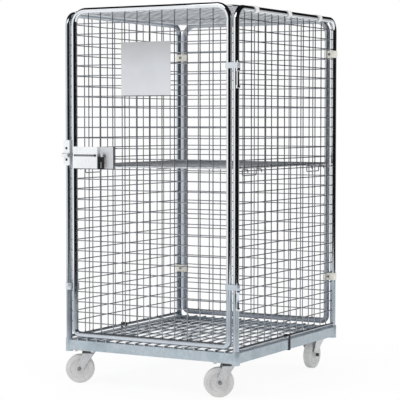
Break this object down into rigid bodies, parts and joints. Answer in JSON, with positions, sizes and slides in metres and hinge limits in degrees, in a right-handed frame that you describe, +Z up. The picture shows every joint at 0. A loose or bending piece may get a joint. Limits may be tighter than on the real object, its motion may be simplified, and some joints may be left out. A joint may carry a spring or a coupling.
{
  "type": "roll container",
  "caption": "Wheeled mesh cage for goods: tube walls with welded wire, a hinged front door with a slide bolt, a hinged mesh lid, a lift-out shelf, swivel front and fixed rear castors.",
  "frame": {"origin": "on the floor under the middle of the base", "axes": "+X to the right seen from the front, -Y towards the door, +Z up"},
  "size_m": [0.762, 0.8605, 1.4055],
  "materials": {
    "tube_zinc": "bright zinc on tube, satin",
    "wire_zinc": "bright zinc on wire, satin",
    "base_steel": "zinc on folded sheet, satin",
    "bright_zinc": "bright zinc on small fittings",
    "castor_zinc": "zinc on pressed sheet",
    "dark_fastener": "black bolt",
    "lock_grey": "dull grey sheet",
    "sign_grey": "matt pale grey, blank",
    "ivory_plastic": "moulded ivory",
    "white_plastic": "moulded white",
    "black_plastic": "moulded black",
    "wheel_plastic": "moulded pale grey polyamide"
  },
  "bodies": {
    "cage": {"base_frame": "base_steel", "deck_grid": "wire_zinc", "left_wall_frame": "tube_zinc", "left_wall_mesh": "wire_zinc", "right_wall_frame": "tube_zinc", "right_wall_mesh": "wire_zinc", "back_wall_frame": "tube_zinc", "back_wall_mesh": "wire_zinc", "corner_clips": "ivory_plastic", "clip_screws": "bright_zinc", "beam_clips": "black_plastic", "roof_clips": "white_plastic", "hinge_pintles": "bright_zinc", "bolt_keeper": "bright_zinc", "lower_keeper": "bright_zinc", "front_left_plate": "castor_zinc", "front_left_race": "castor_zinc", "front_left_kingpin": "castor_zinc", "rear_left_bracket": "castor_zinc", "rear_left_axle": "dark_fastener", "front_right_plate": "castor_zinc", "front_right_race": "castor_zinc", "front_right_kingpin": "castor_zinc", "rear_right_bracket": "castor_zinc", "rear_right_axle": "dark_fastener"},
    "door": {"door_frame": "tube_zinc", "door_mesh": "wire_zinc", "hinge_straps": "bright_zinc", "sign_plate": "sign_grey", "lock_plate": "lock_grey", "lock_cover": "bright_zinc"},
    "bolt": {"lock_bolt": "tube_zinc", "lock_handle": "black_plastic"},
    "lid": {"roof_frame": "wire_zinc", "roof_mesh": "wire_zinc"},
    "shelf": {"shelf_frame": "wire_zinc", "shelf_mesh": "wire_zinc", "shelf_hooks": "wire_zinc"},
    "front_left_swivel": {"front_left_fork": "castor_zinc", "front_left_axle": "dark_fastener"},
    "front_left_roller": {"front_left_wheel": "wheel_plastic"},
    "rear_left_roller": {"rear_left_wheel": "wheel_plastic"},
    "front_right_swivel": {"front_right_fork": "castor_zinc", "front_right_axle": "dark_fastener"},
    "front_right_roller": {"front_right_wheel": "wheel_plastic"},
    "rear_right_roller": {"rear_right_wheel": "wheel_plastic"}
  },
  "joints": [
    {"name": "door_swing", "type": "hinge", "parent": "cage", "child": "door", "pos_m": [0.371, -0.4205, 0.7], "axis": [0, 0, 1], "range_deg": [0, 260]},
    {"name": "bolt_slide", "type": "slide", "parent": "door", "child": "bolt", "axis": [-1, 0, 0], "range_m": [0, 0.015]},
    {"name": "lid_swing", "type": "hinge", "parent": "cage", "child": "lid", "pos_m": [0.338, 0, 1.391], "axis": [0, 1, 0], "range_deg": [0, 95]},
    {"name": "shelf_lift", "type": "slide", "parent": "cage", "child": "shelf", "axis": [0, 0, 1], "range_m": [0, 0.018]},
    {"name": "front_left_swivel_turn", "type": "hinge", "parent": "cage", "child": "front_left_swivel", "pos_m": [-0.2995, -0.3615, 0.11], "axis": [0, 0, 1], "continuous": true},
    {"name": "front_left_wheel_spin", "type": "hinge", "parent": "front_left_swivel", "child": "front_left_roller", "pos_m": [-0.32941, -0.37545, 0.054], "axis": [-0.4226, 0.9063, 0], "continuous": true},
    {"name": "rear_left_wheel_spin", "type": "hinge", "parent": "cage", "child": "rear_left_roller", "pos_m": [-0.283, 0.37, 0.054], "axis": [1, 0, 0], "continuous": true},
    {"name": "front_right_swivel_turn", "type": "hinge", "parent": "cage", "child": "front_right_swivel", "pos_m": [0.2995, -0.3615, 0.11], "axis": [0, 0, 1], "continuous": true},
    {"name": "front_right_wheel_spin", "type": "hinge", "parent": "front_right_swivel", "child": "front_right_roller", "pos_m": [0.27422, -0.38271, 0.054], "axis": [-0.6428, 0.766, 0], "continuous": true},
    {"name": "rear_right_wheel_spin", "type": "hinge", "parent": "cage", "child": "rear_right_roller", "pos_m": [0.283, 0.37, 0.054], "axis": [1, 0, 0], "continuous": true}
  ]
}
